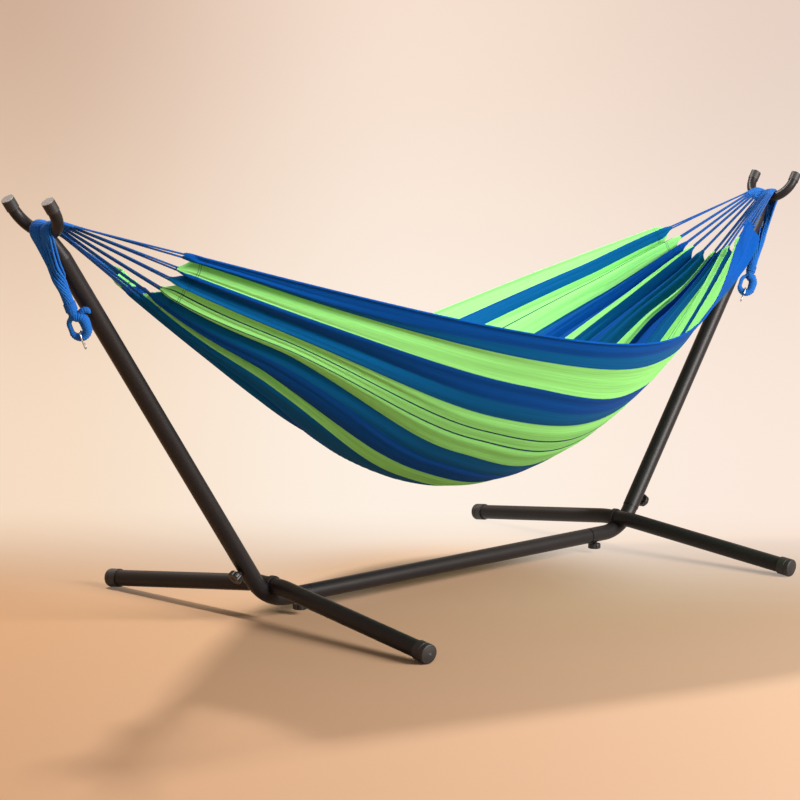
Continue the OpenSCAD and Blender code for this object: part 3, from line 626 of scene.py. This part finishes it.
def makeCords(side, word):
    ends = tips(side)
    order = np.argsort([toWorld(side, e[0])[1] for e in ends])
    swinging, wrapped, tops = [], [], []
    total, i = sum(cords["count"][side]), 0
    limit = bed["barX"] - cords["swingStart"]
    for rank, j in enumerate(order):
        tip, across, inner = (toWorld(side, p) for p in ends[j])
        across = across * (1 if across[1] > 0 else -1)
        lines = []
        for k in range(cords["count"][side][j]):
            y, radius = barPlace(i, total)
            place = (k / (cords["count"][side][j] - 1) - 0.5) * cords["apart"][side][j]
            free, turn = barPath(side, tip + across * place, y, radius)
            line = np.vstack([free, turn])
            wrapped.append(laidCord(smoothPath(line[line[:, 0] > limit - 0.006], 0.0025), cords["bandSize"] / 2,
                                    cords["lay"], phase=i * 1.3, groove=0.12))
            tops.append((y, radius))
            lines.append((free, inner + across * place * 0.7))
            i += 1
        # each pair of strings is one loop through the cloth's tip
        for (one, deepOne), (two, deepTwo) in zip(lines[::2], lines[1::2]):
            loop = [deepOne * 0.6 + one[0] * 0.4, deepOne * 0.5 + deepTwo * 0.5, deepTwo * 0.6 + two[0] * 0.4]
            line = np.vstack([one[one[:, 0] <= limit + 0.004][::-1], loop, two[two[:, 0] <= limit + 0.004]])
            swinging.append(laidCord(smoothPath(line, 0.0028), cords["size"] / 2, cords["lay"], phase=rank * 0.9))
    strings = joinGrids("drawnCords" + word, [toWorld(side, g) for g in swinging])
    # painted shade: the hanging strings take the darker copy of the cord's colours
    strings.data.materials[0] = shadedStringCotton
    wraps = joinGrids("barCords" + word, [toWorld(side, g) for g in wrapped])
    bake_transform(strings)
    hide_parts("cords_" + word.lower())
    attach(wraps, "stand")
    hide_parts("bar_wrap_" + word.lower())
    return tops


def tailPlace(side, points):
    # local X points away from the arm, local -Z down the tail
    a = math.radians(tail["lean"][side])
    p = np.array(points, float)
    x = p[..., 0] + tail["pivot"]
    return np.stack([bed["barX"] + x * math.cos(a) + p[..., 2] * math.sin(a), p[..., 1],
                     bed["bar"] - x * math.sin(a) + p[..., 2] * math.cos(a)], axis=-1)


def eyePlace(side, points):
    turn = math.radians(tail["eyeTurn"])
    drop = -tail["length"][side] - tail["whip"] / 2 - eye["neck"] - eye["bend"] - eye["clear"]
    p = np.array(points, float)
    local = np.stack([p[..., 0] * math.cos(turn) - p[..., 1] * math.sin(turn),
                      p[..., 0] * math.sin(turn) + p[..., 1] * math.cos(turn) + side * tail["side"],
                      p[..., 2] + drop], axis=-1)
    return tailPlace(side, local)


def makeTail(side, word, tops):
    neckZ = -(tail["length"][side] - tail["whip"] / 2)
    middle = side * tail["side"]
    # the two bands close up into rings at the neck, and turn round each other on the way
    slots = [(0, 0)] + [(0.5, 2 * math.pi * k / 7) for k in range(7)] + [(1, 2 * math.pi * k / 14) for k in range(14)]
    slots = sorted(((r * tail["neck"] * math.sin(a), r * tail["neck"] * math.cos(a)) for r, a in slots))
    centreY = sum(cords["spread"]) / 2
    strands = []
    for (y, radius), (dy, dx) in zip(tops, slots):
        lean = math.radians(tail["lean"][side])
        x0, z0 = radius - tail["pivot"] - barRise(y) * math.sin(lean), barRise(y) * math.cos(lean)
        path = [(x0, y, z0), (x0, y, z0 - 0.006)]
        for k in np.linspace(0.12, 1, 12):
            ease = 1 - (1 - k) ** 1.8
            turn = math.radians(tail["twist"][side]) * float(step(k, tail["twistFrom"], 1.05))
            px = x0 + (dx - x0) * ease
            py = (y - centreY) + (dy - (y - centreY)) * ease
            path.append((px * math.cos(turn) - py * math.sin(turn),
                         centreY + (middle - centreY) * ease + px * math.sin(turn) + py * math.cos(turn), neckZ * k))
        path.append((path[-1][0], path[-1][1], neckZ - tail["whip"] - 0.004))
        strands.append(laidCord(smoothPath(path, 0.0028), cords["bandSize"] / 2, cords["lay"],
                                phase=y * 900, groove=0.12))
    bundle = joinGrids("tailStrands" + word, [toWorld(side, tailPlace(side, g)) for g in strands])
    a = np.linspace(0, 2 * math.pi * tail["turns"], tail["turns"] * 24)
    r = tail["whipRadius"]
    helix = np.stack([r * np.cos(a), middle + r * np.sin(a),
                      neckZ - 0.001 - (tail["whip"] - 0.002) * a / a[-1]], axis=1)
    thread = laidCord(helix, tail["whipTurn"] / 2, 0.006, around=8)
    whip = joinGrids("whippingCord" + word, [toWorld(side, tailPlace(side, thread))])
    # one branch of the eye is stout, where the cord's end is laid in, and the other is thin
    b, s = eye["bend"], eye["straight"]
    line = [(side * b * math.cos(math.radians(k)), 0, b * math.sin(math.radians(k)) - (s if 180 < k < 360 else 0))
            for k in np.linspace(90, 450, 37)]
    line = smoothPath(line, 0.0011)
    along = np.linspace(0, 1, len(line))
    size = np.interp(along, [0, 0.08, 0.3, 0.5, 0.62, 0.8, 1],
                     [eye[k] for k in ("thick", "thin", "thin", "foot", "foot", "thick", "thick")])
    grids = [ribbed(line, size, eye["rib"])]
    stub = smoothPath([(0, 0, b - 0.004), (0, 0, b + 0.006), (0, 0, b + 0.0165)], 0.0011)
    grids.append(ribbed(stub, np.linspace(0.0105, eye["throat"], len(stub)), eye["rib"]))
    route, thick = tuck[side]
    lobe = smoothPath([(side * x, 0, b + z) for x, z in route], 0.0011)
    taper = np.sqrt(np.clip(1 - np.linspace(-0.25, 1, len(lobe)).clip(0) ** 4, 0.1, 1))
    grids.append(ribbed(lobe, thick * taper, eye["rib"]))
    loop = joinGrids("servedEye" + word, [toWorld(side, eyePlace(side, g)) for g in grids])
    low = word.lower()
    # the strands bend where they leave the cords on the bar
    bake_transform(bundle)
    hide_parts("tail_bundle_" + low)
    for piece, node in ((whip, "whipping_"), (loop, "served_eye_")):
        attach(piece, "tail_" + low)
        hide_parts(node + low)


for word, side in (("Left", -1), ("Right", 1)):
    tops = makeCords(side, word)
    makeTail(side, word, tops)
print("cords made")


# ---- studio ----
studio = dict(
    # the floor's two colours, and how far left and right of the middle painted light turns it from the darker to the
    # paler
    floor=("#ae8460", "#bda28b"), paintedLightFrom=-1.6, paintedLightTo=1.6, radius=60,
    rightward=(0.701, -0.713, 0), backward=(0.713, 0.701, 0),
    # where the floor fades: round the middle, backwards, and all round further out
    rimFrom=0.1, rimTo=0.7, backFrom=-0.5, backTo=1.15, outFrom=2.4, outTo=4.2,
    # backdrop colours from left to right, low down and high up
    low=("#f6dcc2", "#fef1e3", "#fbe9dc"), high=("#cfae97", "#f6dfce", "#e6d1c3"),
    glowHalf=0.17, glowMiddle=0.52, riseFrom=-0.16, riseTo=0.05,
    key=dict(place=(-0.1, 2.2, 4.0), size=0.42, power=205, colour=(1, 0.96, 0.9)),
    fill=dict(place=(1.6, -6.8, 3.5), size=4.0, power=1120, colour=(1, 0.97, 0.94)),
    side=dict(place=(-5.0, -3.4, 2.6), size=2.5, power=35, colour=(0.96, 0.98, 1)),
    skyLevel=0.23, sky="#f6e6da")


def backdropColour(tree, way):
    # a soft glow behind the middle: way is the direction of sight from the front of the set
    across = addNode(tree, "VectorMath", {"operation": "DOT_PRODUCT", 1: studio["rightward"]}, {0: way})
    up = addNode(tree, "SeparateXYZ", links={0: way})
    ramps = []
    for colours in (studio["low"], studio["high"]):
        place = addNode(tree, "MapRange", {"From Min": -studio["glowHalf"], "From Max": studio["glowHalf"]},
                        {"Value": across.outputs["Value"]})
        ramp = addNode(tree, "ValToRGB", links={0: place.outputs[0]})
        ramp.color_ramp.interpolation = "EASE"
        middle = ramp.color_ramp.elements.new(studio["glowMiddle"])
        for stop, colour in zip((ramp.color_ramp.elements[0], middle, ramp.color_ramp.elements[2]), colours):
            stop.color = linear(colour)
        ramps.append(ramp)
    rise = addNode(tree, "MapRange", {"interpolation_type": "SMOOTHSTEP", "From Min": studio["riseFrom"],
                                      "From Max": studio["riseTo"]}, {"Value": up.outputs["Z"]})
    return addNode(tree, "Mix", {"data_type": "RGBA"},
                   {0: rise.outputs[0], 6: ramps[0].outputs[0], 7: ramps[1].outputs[0]}).outputs[2]


def addStudio():
    mesh = bpy.data.meshes.new("floor")
    r = studio["radius"]
    edge = [(r * math.cos(a), r * math.sin(a), 0) for a in np.linspace(0, 2 * math.pi, 64, endpoint=False)]
    mesh.from_pydata(edge, [], [tuple(range(64))])
    floor = bpy.data.objects.new("floor", mesh)
    scene.collection.objects.link(floor)
    made, tree = newMaterial("paintedStudioFloor")
    # matt emulsion on board: even, with painted light that makes it a little paler to the right, fading into a lit
    # backdrop
    place = addNode(tree, "TexCoord")
    far = addNode(tree, "VectorMath", {"operation": "LENGTH"}, {0: place.outputs["Object"]})
    fade = addNode(tree, "MapRange", {"interpolation_type": "SMOOTHERSTEP", "From Min": studio["rimFrom"],
                                      "From Max": studio["rimTo"]}, {"Value": far.outputs["Value"]})
    behind = addNode(tree, "VectorMath", {"operation": "DOT_PRODUCT", 1: studio["backward"]},
                     {0: place.outputs["Object"]})
    beyond = addNode(tree, "MapRange", {"interpolation_type": "SMOOTHSTEP", "From Min": studio["backFrom"],
                                        "From Max": studio["backTo"]}, {"Value": behind.outputs["Value"]})
    fade = addNode(tree, "Math", {"operation": "MULTIPLY"}, {0: fade.outputs[0], 1: beyond.outputs[0]})
    # further out it fades all round, but only to the eye, so that it doesn't light the set
    ray = addNode(tree, "LightPath")
    outside = addNode(tree, "MapRange", {"interpolation_type": "SMOOTHERSTEP", "From Min": studio["outFrom"],
                                         "From Max": studio["outTo"]}, {"Value": far.outputs["Value"]})
    outside = addNode(tree, "Math", {"operation": "MULTIPLY"}, {0: outside.outputs[0], 1: ray.outputs["Is Camera Ray"]})
    fade = addNode(tree, "Math", {"operation": "MAXIMUM"}, {0: fade.outputs[0], 1: outside.outputs[0]})
    # painted light: the floor's colour turns from the darker to the paler one, left to right
    beside = addNode(tree, "VectorMath", {"operation": "DOT_PRODUCT", 1: studio["rightward"]},
                     {0: place.outputs["Object"]})
    paintedLight = addNode(tree, "MapRange", {"From Min": studio["paintedLightFrom"], "From Max": studio["paintedLightTo"]},
                   {"Value": beside.outputs["Value"]})
    tint = mixed(tree, studio["floor"], paintedLight.outputs[0])
    paint = addNode(tree, "BsdfPrincipled", {"Roughness": 0.9, "Specular IOR Level": 0.1},
                    {"Base Color": tint.outputs[2]})
    sight = addNode(tree, "VectorMath", {"operation": "SUBTRACT", 1: view["place"]}, {0: place.outputs["Object"]})
    sight = addNode(tree, "VectorMath", {"operation": "NORMALIZE"}, {0: sight.outputs[0]})
    glow = addNode(tree, "Emission", {"Strength": 1}, {"Color": backdropColour(tree, sight.outputs[0])})
    both = addNode(tree, "MixShader", links={0: fade.outputs[0], 1: paint.outputs[0], 2: glow.outputs[0]})
    finishMaterial(tree, both)
    mesh.materials.append(made)
    for name in ("key", "fill", "side"):
        facts = studio[name]
        light = bpy.data.objects.new(name, bpy.data.lights.new(name, "AREA"))
        light.data.shape, light.data.size, light.data.energy = "DISK", facts["size"], facts["power"]
        light.data.color = facts["colour"]
        scene.collection.objects.link(light)
        light.location = facts["place"]
        light.rotation_mode = "QUATERNION"
        light.rotation_quaternion = (Vector((0, 0, 0.5)) - light.location).to_track_quat("-Z", "Y")
    world = bpy.data.worlds.new("studio")
    scene.world = world
    world.use_nodes = True
    tree = world.node_tree
    tree.nodes.clear()
    ray = addNode(tree, "LightPath")
    seen = addNode(tree, "Math", {"operation": "MAXIMUM"},
                   {0: ray.outputs["Is Camera Ray"], 1: ray.outputs["Is Glossy Ray"]})
    seen = addNode(tree, "Math", {"operation": "MAXIMUM"},
                   {0: seen.outputs[0], 1: ray.outputs["Is Transmission Ray"]})
    place = addNode(tree, "TexCoord")
    shown = addNode(tree, "Background", {"Strength": 1},
                    {"Color": backdropColour(tree, place.outputs["Generated"])})
    lit = addNode(tree, "Background", {"Color": linear(studio["sky"]), "Strength": studio["skyLevel"]})
    both = addNode(tree, "MixShader", links={0: seen.outputs[0], 1: lit.outputs[0], 2: shown.outputs[0]})
    out = addNode(tree, "OutputWorld")
    tree.links.new(both.outputs[0], out.inputs["Surface"])
    scene.view_settings.view_transform = "Standard"


addStudio()
print("studio made")
